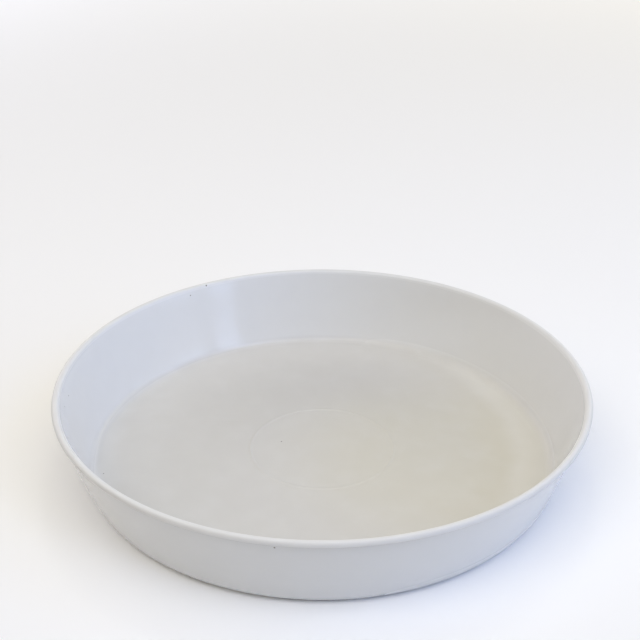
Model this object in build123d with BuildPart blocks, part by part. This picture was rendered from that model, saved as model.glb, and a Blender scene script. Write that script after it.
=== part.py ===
from build123d import *
from math import atan2, cos, degrees, pi, radians, sin, tan
import os

# Plant saucer: one round dish, moulded in white plastic in a single shot. It has a flat floor with a
# low ring raised in the middle, a coved corner, a straight sloping wall and a small lip turned out.
# Millimetres, +Z up. The origin is on the dish's axis, in the plane that its foot stands on.

# Overall sizes
rim_diameter = 300.0  # across the outer edge of the lip
height = 50.0  # from the resting plane to the top of the lip
heel_diameter = 264.8  # where the wall's outer face would meet the resting plane

# Shell
wall_thickness = 1.8  # square to the wall
floor_thickness = 2.0
cove_radius = 7.8  # inside, from the floor into the wall

# Lip
lip_overhang = 2.7  # how far it stands out from the top of the wall
lip_depth = 2.8  # from its crest to its flat underside
lip_radius = 2.2  # of the crest, which curls out of the wall's inner face
lip_fall = 35.0  # degrees that its top slopes down by, from the crest to the outer edge

# Foot
foot_height = 0.8  # how far the floor's underside is set up from the resting plane
foot_width = 14.0  # flat band that the dish stands on, in from where the heel's curve starts

# Ring on the floor
ring_diameter = 83.6  # at the middle of its crest
ring_crest_width = 0.8
ring_foot_width = 2.4
ring_height = 0.6

# Gate mark under the middle of the floor
gate_dish_diameter = 12.0
gate_dish_depth = 0.5
gate_stub_diameter = 2.6
gate_stub_height = 0.4

# Heights and radii that follow from those sizes
rim_radius = rim_diameter / 2
heel_corner = heel_diameter / 2
floor_top = foot_height + floor_thickness
lip_underside = height - lip_depth
wall_top = rim_radius - lip_overhang

# The wall leans out by the draft, and its inner face runs beside the outer one at the wall's thickness
draft = atan2(wall_top - heel_corner, lip_underside)
inner_start = heel_corner - wall_thickness / cos(draft)
inner_corner = inner_start + floor_top * tan(draft)

# The heel is the cove's curve one wall further out, and the flat of the foot ends where that curve starts
heel_radius = cove_radius + wall_thickness
heel_turn = pi / 2 - draft
foot_outer = heel_corner - heel_radius * tan(heel_turn / 2)
foot_inner = foot_outer - foot_width

# The lip's crest touches the full height and the wall's inner face, and from where its curve ends the top
# slopes straight down to the outer edge
crest_height = height - lip_radius
crest_middle = inner_start + crest_height * tan(draft) + lip_radius / cos(draft)
slope_start = crest_middle + lip_radius * sin(radians(lip_fall))
slope_top = crest_height + lip_radius * cos(radians(lip_fall))
lip_edge_top = slope_top - (rim_radius - slope_start) * tan(radians(lip_fall))

with BuildPart() as dish:
    # Floor, wall and lip: half of the section, revolved
    with BuildSketch(Plane.XZ):
        with BuildLine():
            outside = FilletPolyline(
                (0, foot_height),
                (foot_inner - foot_height, foot_height),
                (foot_inner, 0),
                (heel_corner, 0),
                (wall_top, lip_underside),
                (rim_radius, lip_underside),
                (rim_radius, lip_edge_top),
                (slope_start, slope_top),
                radius=[0, 0, heel_radius, 0, 0, 0],
            )
            crest = CenterArc(
                (crest_middle, crest_height),
                lip_radius,
                start_angle=90 - lip_fall,
                arc_size=90 - degrees(draft) + lip_fall,
            )
            inside = FilletPolyline(
                crest @ 1,
                (inner_corner, floor_top),
                (0, floor_top),
                radius=[cove_radius],
            )
            Line(inside @ 1, outside @ 0)
        make_face()
    revolve(axis=Axis.Z)

    # Low ring on the floor, with sloping sides and a narrow flat crest
    ring_top = floor_top + ring_height
    with BuildSketch(Plane.XZ):
        with BuildLine():
            Polyline(
                ((ring_diameter - ring_foot_width) / 2, floor_top),
                ((ring_diameter - ring_crest_width) / 2, ring_top),
                ((ring_diameter + ring_crest_width) / 2, ring_top),
                ((ring_diameter + ring_foot_width) / 2, floor_top),
                close=True,
            )
        make_face()
    revolve(axis=Axis.Z)

    # Gate mark: a shallow dish in the underside, and in it the stub left where the plastic ran in
    with BuildSketch(Plane.XY.offset(foot_height)):
        Circle(gate_dish_diameter / 2)
    extrude(amount=gate_dish_depth, mode=Mode.SUBTRACT)
    with BuildSketch(Plane.XY.offset(foot_height + gate_dish_depth)):
        Circle(gate_stub_diameter / 2)
    extrude(amount=-gate_stub_height)

dish.part.label = "dish"

os.makedirs("parts", exist_ok=True)
export_step(dish.part, "parts/dish.step")
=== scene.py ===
import math
from collections import namedtuple

import bmesh
import bpy
from bpy.props import FloatProperty, FloatVectorProperty, IntProperty, PointerProperty
from bpy.types import NodeSocket, Operator, Panel, PropertyGroup
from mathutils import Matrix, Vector


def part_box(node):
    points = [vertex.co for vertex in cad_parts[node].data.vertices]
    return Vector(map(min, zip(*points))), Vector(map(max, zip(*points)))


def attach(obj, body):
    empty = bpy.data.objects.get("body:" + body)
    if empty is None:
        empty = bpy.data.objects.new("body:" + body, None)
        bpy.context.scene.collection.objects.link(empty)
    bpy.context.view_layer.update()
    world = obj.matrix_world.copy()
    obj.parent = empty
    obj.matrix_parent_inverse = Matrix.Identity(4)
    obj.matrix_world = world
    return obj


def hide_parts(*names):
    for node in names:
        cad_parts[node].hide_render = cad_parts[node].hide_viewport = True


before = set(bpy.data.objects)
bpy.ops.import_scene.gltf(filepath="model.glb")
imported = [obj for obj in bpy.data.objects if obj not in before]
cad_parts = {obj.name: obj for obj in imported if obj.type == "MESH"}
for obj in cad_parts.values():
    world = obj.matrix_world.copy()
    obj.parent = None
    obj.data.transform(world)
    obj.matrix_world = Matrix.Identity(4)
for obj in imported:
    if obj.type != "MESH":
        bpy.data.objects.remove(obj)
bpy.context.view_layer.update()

bl_info = {
    "name": "Plant Saucer",
    "version": (1, 0, 0),
    "blender": (4, 5, 0),
    "location": "View3D > Sidebar > Saucer",
    "description": "Moulds a white plastic plant saucer and sets a plain studio round it",
    "category": "Add Mesh",
}

# The imported solid gives the saucer's overall size
DISH_NODE = "dish"
DISH_LOW, DISH_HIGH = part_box(DISH_NODE)
MM = 0.001

# Spots on the plastic: angle round the axis in degrees from +X, then distance from the axis, height and
# radius in millimetres
Spot = namedtuple("Spot", "angle distance height radius")
SPECKS = (
    Spot(166.8, 24.5, 2.8, 0.55),
    Spot(126.8, 145.0, 45.5, 0.50),
    Spot(121.8, 146.1, 49.0, 0.70),
    Spot(-173.1, 144.0, 40.7, 0.45),
    Spot(-178.6, 143.8, 39.6, 0.50),
    Spot(-167.5, 126.0, 2.8, 0.45),
    Spot(-98.5, 146.5, 44.0, 0.60),
)

# Softboxes: azimuth clockwise from +Y and elevation in degrees, distance from the saucer, width and height
# in metres, and radiance
Softbox = namedtuple("Softbox", "name azimuth elevation distance width height radiance")
SOFTBOXES = (
    Softbox("window_pane", 130.5, 20, 2.0, 0.42, 1.5, (1.5, 1.9, 2.9)),
    Softbox("window", 94, 14, 2.0, 1.6, 0.7, (1.85, 2.15, 2.8)),
    Softbox("window_high", 112, 42, 2.0, 2.0, 1.0, (0.55, 0.75, 1.5)),
    Softbox("right_back", 50, 16, 2.0, 1.5, 1.0, (1.4, 1.25, 0.85)),
    Softbox("back", 0, 16, 2.0, 2.2, 0.9, (1.3, 1.3, 1.3)),
    Softbox("left_back", 308, 14, 2.0, 1.6, 0.9, (2.3, 2.35, 2.8)),
    Softbox("left_front", 220, 44, 2.0, 1.4, 1.4, (1.45, 1.25, 1.0)),
    Softbox("front_high", 180, 60, 2.0, 3.0, 1.4, (1.3, 1.4, 1.5)),
    Softbox("ceiling", 0, 90, 2.0, 2.8, 2.8, (0.7, 0.62, 0.45)),
    Softbox("lamp", 5.5, 67.5, 2.0, 0.26, 0.12, (14.0, 14.0, 13.0)),
)


def length(name, description, default):
    """A length in metres that the panel shows in scene units."""
    return FloatProperty(
        name=name, description=description, default=default, min=0.0, precision=5, unit="LENGTH"
    )


def share(name, description, default):
    """A number from 0 to 1."""
    return FloatProperty(
        name=name, description=description, default=default, min=0.0, max=1.0, subtype="FACTOR"
    )


def tint(name, description, default):
    """A linear colour."""
    return FloatVectorProperty(
        name=name, description=description, default=default, size=3, min=0.0, max=1.0, subtype="COLOR"
    )


def turn(name, description, degrees):
    """An angle, given in degrees."""
    return FloatProperty(
        name=name, description=description, default=math.radians(degrees), min=0.0, subtype="ANGLE"
    )


class SaucerShape(PropertyGroup):
    """Sizes of the moulding's section."""

    rim_radius: length("Rim radius", "Out to the edge of the lip", DISH_HIGH.x)
    height: length("Height", "From the resting plane to the top of the lip", DISH_HIGH.z)
    heel_corner: length("Heel corner", "Radius where wall and resting plane would meet", 132.4 * MM)
    wall: length("Wall", "Thickness of the wall, square to it", 1.8 * MM)
    wall_bow: length("Wall bow", "How far the left of the wall bulges out at mid height", 1.4 * MM)
    floor_top: length("Floor top", "Height of the floor's upper face", 2.8 * MM)
    cove_radius: length("Cove radius", "Inside curve from the floor into the wall", 5.5 * MM)
    heel_radius: length("Heel radius", "Outside curve from the foot into the wall", 9.6 * MM)
    lip_overhang: length("Lip overhang", "How far the lip stands out from the wall", 2.7 * MM)
    lip_depth: length("Lip depth", "From the lip's crest to its underside", 2.8 * MM)
    lip_radius: length("Lip radius", "Curve of the lip's crest", 2.2 * MM)
    lip_fall: turn("Lip fall", "How steeply the lip's top slopes down to its edge", 35)
    lip_edge_radius: length("Lip edge", "Rounding of the lip's upper edge", 1.5 * MM)
    lip_parting_radius: length("Lip parting", "Rounding of the lip's lower edge", 0.8 * MM)
    lip_root_radius: length("Lip root", "Rounding under the lip, where it leaves the wall", 1.6 * MM)
    foot_height: length("Foot height", "How far the floor's underside is set up", 0.8 * MM)
    foot_width: length("Foot width", "Flat band that the saucer stands on", 14.0 * MM)
    foot_rounding: length("Foot rounding", "Rounding of the foot's inner edge", 0.4 * MM)
    ring_radius: length("Ring radius", "Middle of the low ring on the floor", 41.8 * MM)
    ring_width: length("Ring width", "Width of that ring at its foot", 2.4 * MM)
    ring_height: length("Ring height", "Height of that ring", 0.3 * MM)
    gate_dish_radius: length("Gate dish", "Radius of the dish round the gate mark", 6.0 * MM)
    gate_dish_depth: length("Gate dish depth", "Depth of the dish round the gate mark", 0.5 * MM)
    gate_stub_radius: length("Gate stub", "Radius of the stub left at the gate", 1.3 * MM)
    gate_stub_height: length("Gate stub height", "Height of that stub", 0.4 * MM)
    segments: IntProperty(name="Segments", description="Facets round the axis", default=256, min=24)
    arc_step: turn("Arc step", "Turn between two points of a curve", 9)
    run_step: length("Run step", "Longest edge along a straight run", 8.0 * MM)


class SaucerFinish(PropertyGroup):
    """Colours and gloss of the plastic."""

    plastic: tint("Plastic", "Clean white plastic", (0.76, 0.76, 0.75))
    # Painted shade: the plastic that faces down on the outside is drawn darker than the rest
    outside_shade: tint("Weathered", "Plastic outside, dulled by splashes", (0.65, 0.65, 0.64))
    # Painted shade: the outer edge of the lip is drawn darker
    lip_edge_shade: tint("Grubby", "Edge of the lip, dirty from handling", (0.61, 0.605, 0.59))
    # The floor's stain colour: partly a real stain, and partly painted warm light in its cream
    stain_and_warm_light: tint("Stain", "Plastic that a pot has stood on in its water", (0.635, 0.625, 0.60))
    # Painted shade: a yellower tint on the right of the floor, where the right wall keeps the blue window
    # light off it
    warm_shade: tint("Tannin", "Yellower part of that stain", (0.65, 0.63, 0.555))
    warm_shade_middle: FloatVectorProperty(
        name="Tannin middle", description="Middle of that part", default=(65 * MM, -10 * MM, 0), size=3,
        subtype="TRANSLATION", unit="LENGTH",
    )
    warm_shade_radius: length("Tannin radius", "Out to where that part fades", 110.0 * MM)
    stain_and_highlight_middle: FloatVectorProperty(
        name="Stain middle", description="Middle of that stain", default=(-6 * MM, 8 * MM, 0), size=3,
        subtype="TRANSLATION", unit="LENGTH",
    )
    stain_and_highlight_radius: length("Stain radius", "Half the stain's width, out to where it fades", 117.0 * MM)
    stain_and_highlight_reach: length("Stain reach", "Half its length from front to back", 140.0 * MM)
    speck: tint("Speck", "Dirt specks", (0.20, 0.18, 0.15))
    gloss: share("Gloss roughness", "Roughness of the clean plastic", 0.13)
    worn: share("Worn roughness", "Roughness of the scuffed floor and foot", 0.50)


class SaucerStudio(PropertyGroup):
    """Floor, lights and camera."""

    floor: tint("Floor", "Pale floor", (0.95, 0.95, 0.95))
    ambient: tint("Ambient", "Light from all round", (0.02, 0.02, 0.02))
    camera_distance: length("Camera distance", "From the origin", 649.1 * MM)
    camera_aside: length("Camera aside", "How far the camera stands to the left", 1.14 * MM)
    camera_elevation: turn("Camera elevation", "Above the floor, seen from the origin", 33.55)
    camera_tilt: turn("Camera tilt", "How far the camera aims above the origin", 6.784)
    lens: FloatProperty(name="Lens", description="Focal length", default=61.83, unit="CAMERA")


def rounded_outline(corners, arc_step, run_step):
    """Points along an outline of corners, each (distance from the axis, height, rounding)."""
    points = [Vector(corners[0][:2])]

    def run_to(point):
        gap = point - points[-1]
        count = max(1, math.ceil(gap.length / run_step))
        start = points[-1].copy()
        points.extend(start + gap * (i / count) for i in range(1, count + 1))

    for before, corner, after in zip(corners, corners[1:], corners[2:]):
        here = Vector(corner[:2])
        rounding = corner[2]
        if rounding == 0:
            run_to(here)
            continue
        back = (Vector(before[:2]) - here).normalized()
        ahead = (Vector(after[:2]) - here).normalized()
        opening = back.angle(ahead)
        reach = rounding / math.tan(opening / 2)
        centre = here + (back + ahead).normalized() * rounding / math.sin(opening / 2)
        run_to(here + back * reach)
        spoke = here + back * reach - centre
        sweep = spoke.angle_signed(here + ahead * reach - centre)
        count = max(3, math.ceil(abs(sweep) / arc_step))
        for i in range(1, count + 1):
            angle = -sweep * i / count
            points.append(centre + Vector((
                spoke.x * math.cos(angle) - spoke.y * math.sin(angle),
                spoke.x * math.sin(angle) + spoke.y * math.cos(angle),
            )))
    run_to(Vector(corners[-1][:2]))
    return points


def dish_section(shape):
    """Half section of the moulding, from the middle of the underside round to the middle of the floor."""
    wall_top = shape.rim_radius - shape.lip_overhang
    lip_underside = shape.height - shape.lip_depth
    lean = (wall_top - shape.heel_corner) / lip_underside
    draft = math.atan(lean)
    inner_start = shape.heel_corner - shape.wall / math.cos(draft)
    foot_outer = shape.heel_corner - shape.heel_radius * math.tan((math.pi / 2 - draft) / 2)
    foot_inner = foot_outer - shape.foot_width
    gate_roof = shape.foot_height + shape.gate_dish_depth
    ring_inner = shape.ring_radius - shape.ring_width / 2
    ring_outer = shape.ring_radius + shape.ring_width / 2
    ring_rounding = shape.ring_width / 4

    # The lip's crest touches the full height, the wall's inner face and the slope of the lip's top: the last
    # two would meet at a peak above it
    crest_height = shape.height - shape.lip_radius
    crest = Vector((
        inner_start + crest_height * lean + shape.lip_radius / math.cos(draft),
        crest_height,
    ))
    inwards = Vector((-math.cos(draft), math.sin(draft)))
    outwards = Vector((math.sin(shape.lip_fall), math.cos(shape.lip_fall)))
    peak = crest + (inwards + outwards) * shape.lip_radius / (1 + inwards.dot(outwards))
    lip_edge_top = peak.y - (shape.rim_radius - peak.x) * math.tan(shape.lip_fall)

    corners = [
        (0, gate_roof - shape.gate_stub_height, 0),
        (shape.gate_stub_radius, gate_roof - shape.gate_stub_height, 0),
        (shape.gate_stub_radius, gate_roof, 0),
        (shape.gate_dish_radius, gate_roof, 0),
        (shape.gate_dish_radius, shape.foot_height, 0),
        (foot_inner - shape.foot_height, shape.foot_height, shape.foot_rounding),
        (foot_inner, 0, shape.foot_rounding),
        (shape.heel_corner, 0, shape.heel_radius),
        (wall_top, lip_underside, shape.lip_root_radius),
        (shape.rim_radius, lip_underside, shape.lip_parting_radius),
        (shape.rim_radius, lip_edge_top, shape.lip_edge_radius),
        (peak.x, peak.y, shape.lip_radius),
        (inner_start + shape.floor_top * lean, shape.floor_top, shape.cove_radius),
        (ring_outer, shape.floor_top, ring_rounding),
        (shape.ring_radius, shape.floor_top + shape.ring_height, ring_rounding),
        (ring_inner, shape.floor_top, ring_rounding),
        (0, shape.floor_top, 0),
    ]
    return rounded_outline(corners, shape.arc_step, shape.run_step)


def new_object(name, mesh):
    """Object for a mesh, linked to the scene."""
    piece = bpy.data.objects.new(name, mesh)
    bpy.context.scene.collection.objects.link(piece)
    return piece


def moulded_dish(shape):
    """Mesh of the moulding: its half section, turned once round the axis."""
    bm = bmesh.new()
    ring = [bm.verts.new((point.x, 0, point.y)) for point in dish_section(shape)]
    edges = [bm.edges.new(pair) for pair in zip(ring, ring[1:])]
    bmesh.ops.spin(
        bm, geom=ring + edges, axis=(0, 0, 1), cent=(0, 0, 0),
        angle=math.tau, steps=shape.segments, use_merge=True,
    )
    bmesh.ops.remove_doubles(bm, verts=bm.verts, dist=0.001 * MM)
    bmesh.ops.recalc_face_normals(bm, faces=bm.faces)
    for face in bm.faces:
        face.smooth = True

    # The moulding is a little out of true: its wall bulges on the left, and is straight on the right
    lip_underside = shape.height - shape.lip_depth
    for vert in bm.verts:
        reach = vert.co.xy.length
        rise = min(vert.co.z / lip_underside, 1)
        if reach > shape.heel_corner - 2 * shape.heel_radius:
            bulge = shape.wall_bow * 4 * rise * (1 - rise) * (1 - vert.co.x / reach) / 2
            vert.co.xy *= 1 + bulge / reach
    mesh = bpy.data.meshes.new("saucer_dish")
    bm.to_mesh(mesh)
    bm.free()
    return mesh


class NodeBench:
    """Adds nodes to a tree: each input is a number, a colour, a vector or another node's output."""

    def __init__(self, tree):
        self.tree = tree

    def add(self, kind, inputs, **settings):
        node = self.tree.nodes.new(kind)
        for key, value in settings.items():
            setattr(node, key, value)
        for key, value in inputs.items():
            if isinstance(value, NodeSocket):
                self.tree.links.new(value, node.inputs[key])
            else:
                node.inputs[key].default_value = value
        return node

    def math(self, operation, first, second=0.0, third=0.0):
        return self.add("ShaderNodeMath", {0: first, 1: second, 2: third}, operation=operation).outputs[0]

    def vector(self, operation, first, second, result="Vector"):
        node = self.add("ShaderNodeVectorMath", {0: first, 1: second}, operation=operation)
        return node.outputs[result]

    def fade(self, value, start, end):
        """Eases from 0 at the start value to 1 at the end value."""
        node = self.add(
            "ShaderNodeMapRange", {"Value": value, "From Min": start, "From Max": end},
            interpolation_type="SMOOTHSTEP",
        )
        return node.outputs["Result"]

    def noise(self, place, scale, detail=2.0):
        return self.add("ShaderNodeTexNoise", {"Vector": place, "Scale": scale, "Detail": detail}).outputs[0]

    def blend(self, factor, first, second):
        node = self.add("ShaderNodeMix", {0: factor, 6: first, 7: second}, data_type="RGBA")
        return node.outputs[2]

    def spots(self, place, spots):
        """Is 1 in each of the spots, and fades to 0 at its edge."""
        total = 0.0
        for spot in spots:
            angle = math.radians(spot.angle)
            middle = (
                spot.distance * math.cos(angle) * MM,
                spot.distance * math.sin(angle) * MM,
                spot.height * MM,
            )
            away = self.vector("DISTANCE", place, middle, "Value")
            total = self.math("MAXIMUM", total, self.fade(away, spot.radius * MM, 0.5 * spot.radius * MM))
        return total

    def scratches(self, place, angle, along, across, rarity):
        """Fine streaks that run at an angle, with their frequency along and across per metre."""
        mapping = self.add(
            "ShaderNodeMapping", {"Vector": place, "Rotation": (0, 0, angle), "Scale": (along, across, 1)}
        )
        return self.fade(self.noise(mapping.outputs[0], 1.0, 1.0), rarity, rarity + 0.06)


def plastic_material(finish, shape):
    """Glossy white moulded plastic, creamy and scuffed on the floor, with a few specks of dirt. The floor's
    cream is partly a stain and partly painted warm light, its margin carries a painted highlight, and the
    outside and the lip's edge carry painted shade.
    """
    material = bpy.data.materials.new("white_plastic")
    material.use_nodes = True
    bench = NodeBench(material.node_tree)
    shader = material.node_tree.nodes["Principled BSDF"]
    place = bench.add("ShaderNodeTexCoord", {}).outputs["Object"]
    normal = bench.add("ShaderNodeNewGeometry", {}).outputs["Normal"]
    position = bench.add("ShaderNodeSeparateXYZ", {0: place}).outputs
    aside, height = position["X"], position["Z"]
    facing = bench.add("ShaderNodeSeparateXYZ", {0: normal}).outputs["Z"]

    # Where pots have stood in their water: a film over the floor, and a deeper stain off the middle with an
    # uneven edge. The film's cream is partly painted warm light, and the floor's lighter margin outside the
    # deeper stain is a painted highlight.
    upward = bench.fade(facing, 0.0, 0.25)
    inside = bench.math("MULTIPLY", upward, bench.fade(height, 4.5 * MM, 3.0 * MM))
    wander = bench.noise(place, 22.0, 4.0)
    squeeze = (1, finish.stain_and_highlight_radius / finish.stain_and_highlight_reach, 0)
    flat = bench.vector("MULTIPLY", bench.vector("SUBTRACT", place, finish.stain_and_highlight_middle), squeeze)
    reach = bench.math(
        "MULTIPLY_ADD", wander, 16.0 * MM, bench.vector("LENGTH", flat, (0, 0, 0), "Value")
    )
    # Painted highlight: outside the deeper stain the floor keeps only half the film, so its margin is drawn
    # lighter
    spread = bench.fade(reach, finish.stain_and_highlight_radius + 14.0 * MM, finish.stain_and_highlight_radius)
    cloud = bench.fade(bench.noise(place, 55.0, 4.0), -0.9, 0.7)
    film = bench.math("MULTIPLY", upward, bench.fade(height, 8.0 * MM, 3.5 * MM))
    film_and_margin_highlight = bench.math("MULTIPLY", bench.math("MULTIPLY_ADD", spread, 0.5, 0.5), film)
    stain_and_warm_light = bench.math("MULTIPLY", film_and_margin_highlight, cloud)

    # The lip is scuffed, and its outer edge is drawn darker as painted shade
    lip = bench.fade(height, shape.height - shape.lip_depth, shape.height - 0.6 * shape.lip_depth)
    around = bench.vector("LENGTH", bench.vector("MULTIPLY", place, (1, 1, 0)), (0, 0, 0), "Value")
    edge = bench.fade(around, shape.rim_radius - 1.6 * MM, shape.rim_radius - 0.2 * MM)

    # Scuffs from pots: long fine streaks across the floor, in patches
    streaks = bench.math(
        "MAXIMUM",
        bench.scratches(place, math.radians(25), 9.0, 700.0, 0.66),
        bench.scratches(place, math.radians(-58), 12.0, 900.0, 0.68),
    )
    patches = bench.fade(bench.noise(place, 16.0, 2.0), 0.45, 0.70)
    scuffs = bench.math("MULTIPLY", bench.math("MULTIPLY", streaks, patches), inside)

    # The cove is dull on the right, and the foot is worn dull by what the saucer stands on
    dull = bench.math("MULTIPLY", bench.fade(aside, 0.0, 70.0 * MM), bench.fade(height, 12.0 * MM, 4.0 * MM))
    foot = bench.math("MULTIPLY", bench.fade(height, 0.3 * MM, 0.05 * MM), bench.fade(facing, -0.6, -0.9))
    worn = bench.math("MAXIMUM", bench.math("MAXIMUM", inside, foot), bench.math("MAXIMUM", lip, dull))

    # Painted shade: the floor's colour turns yellower towards the right
    yellow = bench.vector("DISTANCE", place, finish.warm_shade_middle, "Value")
    stain_with_warm_shade = bench.blend(
        bench.fade(yellow, finish.warm_shade_radius, 0.3 * finish.warm_shade_radius),
        (*finish.stain_and_warm_light, 1), (*finish.warm_shade, 1),
    )
    # Painted shade: surfaces facing down on the outside take the darker colour
    outside = bench.fade(facing, 0.0, -0.2)
    plastic_and_outside_shade = bench.blend(outside, (*finish.plastic, 1), (*finish.outside_shade, 1))
    dirt = bench.spots(place, SPECKS)
    colour = bench.blend(edge, bench.blend(stain_and_warm_light, plastic_and_outside_shade, stain_with_warm_shade), (*finish.lip_edge_shade, 1))
    mottle = bench.math("MULTIPLY_ADD", bench.noise(place, 90.0, 3.0), 0.03, 0.985)
    shade = bench.math("MULTIPLY_ADD", scuffs, -0.015, mottle)
    colour = bench.add("ShaderNodeVectorMath", {0: colour, "Scale": shade}, operation="SCALE").outputs[0]
    colour = bench.blend(dirt, colour, (*finish.speck, 1))
    roughness = bench.add(
        "ShaderNodeMapRange", {"Value": bench.math("ADD", worn, bench.math("MULTIPLY", scuffs, 0.4)),
                               "To Min": finish.gloss, "To Max": finish.worn},
    ).outputs["Result"]

    # The moulded skin is very slightly rippled
    ripple = bench.math(
        "ADD",
        bench.math("MULTIPLY", bench.noise(place, 45.0, 1.0), 10.0),
        bench.noise(place, 700.0, 1.0),
    )
    relief = bench.math("SUBTRACT", ripple, bench.math("MULTIPLY", scuffs, 1.5))
    bump = bench.add("ShaderNodeBump", {"Height": relief, "Distance": 0.003 * MM})

    links = material.node_tree.links
    links.new(colour, shader.inputs["Base Color"])
    links.new(roughness, shader.inputs["Roughness"])
    links.new(bump.outputs["Normal"], shader.inputs["Normal"])
    shader.inputs["IOR"].default_value = 1.49
    return material


class SAUCER_OT_dish(Operator):
    """Mould the dish: floor, wall and lip in one piece"""

    bl_idname = "saucer.dish"
    bl_label = "Mould Dish"

    def execute(self, context):
        scene = context.scene
        piece = new_object("saucer_dish", moulded_dish(scene.saucer_shape))
        piece.data.materials.append(plastic_material(scene.saucer_finish, scene.saucer_shape))
        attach(piece, "root")
        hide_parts(DISH_NODE)
        return {"FINISHED"}


def hang_softbox(box):
    """Rectangular light at its place round the saucer, turned towards it."""
    azimuth, elevation = math.radians(box.azimuth), math.radians(box.elevation)
    towards = Vector((
        math.sin(azimuth) * math.cos(elevation),
        math.cos(azimuth) * math.cos(elevation),
        math.sin(elevation),
    ))
    data = bpy.data.lights.new(box.name, "AREA")
    data.shape = "RECTANGLE"
    data.size, data.size_y = box.width, box.height
    data.energy = math.pi * box.width * box.height
    data.color = box.radiance
    lamp = new_object(box.name, data)
    lamp.location = towards * box.distance
    lamp.rotation_euler = towards.to_track_quat("Z", "Y").to_euler()
    return lamp


class SAUCER_OT_studio(Operator):
    """Set up the pale floor, the soft lights and the camera"""

    bl_idname = "saucer.studio"
    bl_label = "Set Up Studio"

    def execute(self, context):
        scene = context.scene
        studio = scene.saucer_studio
        bpy.ops.mesh.primitive_plane_add(size=12)
        floor = context.object
        floor.name = "studio_floor"
        material = bpy.data.materials.new("pale_floor")
        material.use_nodes = True
        shader = material.node_tree.nodes["Principled BSDF"]
        shader.inputs["Base Color"].default_value = (*studio.floor, 1)
        shader.inputs["Roughness"].default_value = 0.9
        floor.data.materials.append(material)

        world = bpy.data.worlds.new("studio")
        world.use_nodes = True
        world.node_tree.nodes["Background"].inputs["Color"].default_value = (*studio.ambient, 1)
        scene.world = world
        for box in SOFTBOXES:
            hang_softbox(box)

        data = bpy.data.cameras.new("camera")
        data.sensor_width = 36
        data.lens = studio.lens
        camera = new_object("camera", data)
        elevation = studio.camera_elevation
        camera.location = (
            -studio.camera_aside,
            -studio.camera_distance * math.cos(elevation),
            studio.camera_distance * math.sin(elevation),
        )
        camera.rotation_euler = (math.pi / 2 - elevation + studio.camera_tilt, 0, 0)
        scene.camera = camera
        scene.view_settings.view_transform = "Standard"
        return {"FINISHED"}


class SAUCER_PT_panel(Panel):
    """Sidebar panel of the saucer and its studio"""

    bl_label = "Plant Saucer"
    bl_space_type = "VIEW_3D"
    bl_region_type = "UI"
    bl_category = "Saucer"

    def draw(self, context):
        for operator, settings in PARTS:
            box = self.layout.box()
            box.operator(operator.bl_idname)
            for name in settings:
                group = getattr(context.scene, name)
                for key in group.__annotations__:
                    box.prop(group, key)


PARTS = (
    (SAUCER_OT_dish, ("saucer_shape", "saucer_finish")),
    (SAUCER_OT_studio, ("saucer_studio",)),
)
CLASSES = (SaucerShape, SaucerFinish, SaucerStudio, SAUCER_OT_dish, SAUCER_OT_studio, SAUCER_PT_panel)
SETTINGS = {"saucer_shape": SaucerShape, "saucer_finish": SaucerFinish, "saucer_studio": SaucerStudio}


def register():
    for cls in CLASSES:
        bpy.utils.register_class(cls)
    for name, group in SETTINGS.items():
        setattr(bpy.types.Scene, name, PointerProperty(type=group))


def unregister():
    for name in SETTINGS:
        delattr(bpy.types.Scene, name)
    for cls in reversed(CLASSES):
        bpy.utils.unregister_class(cls)


def main():
    register()
    bpy.ops.saucer.dish()
    bpy.ops.saucer.studio()


if __name__ == "__main__":
    main()
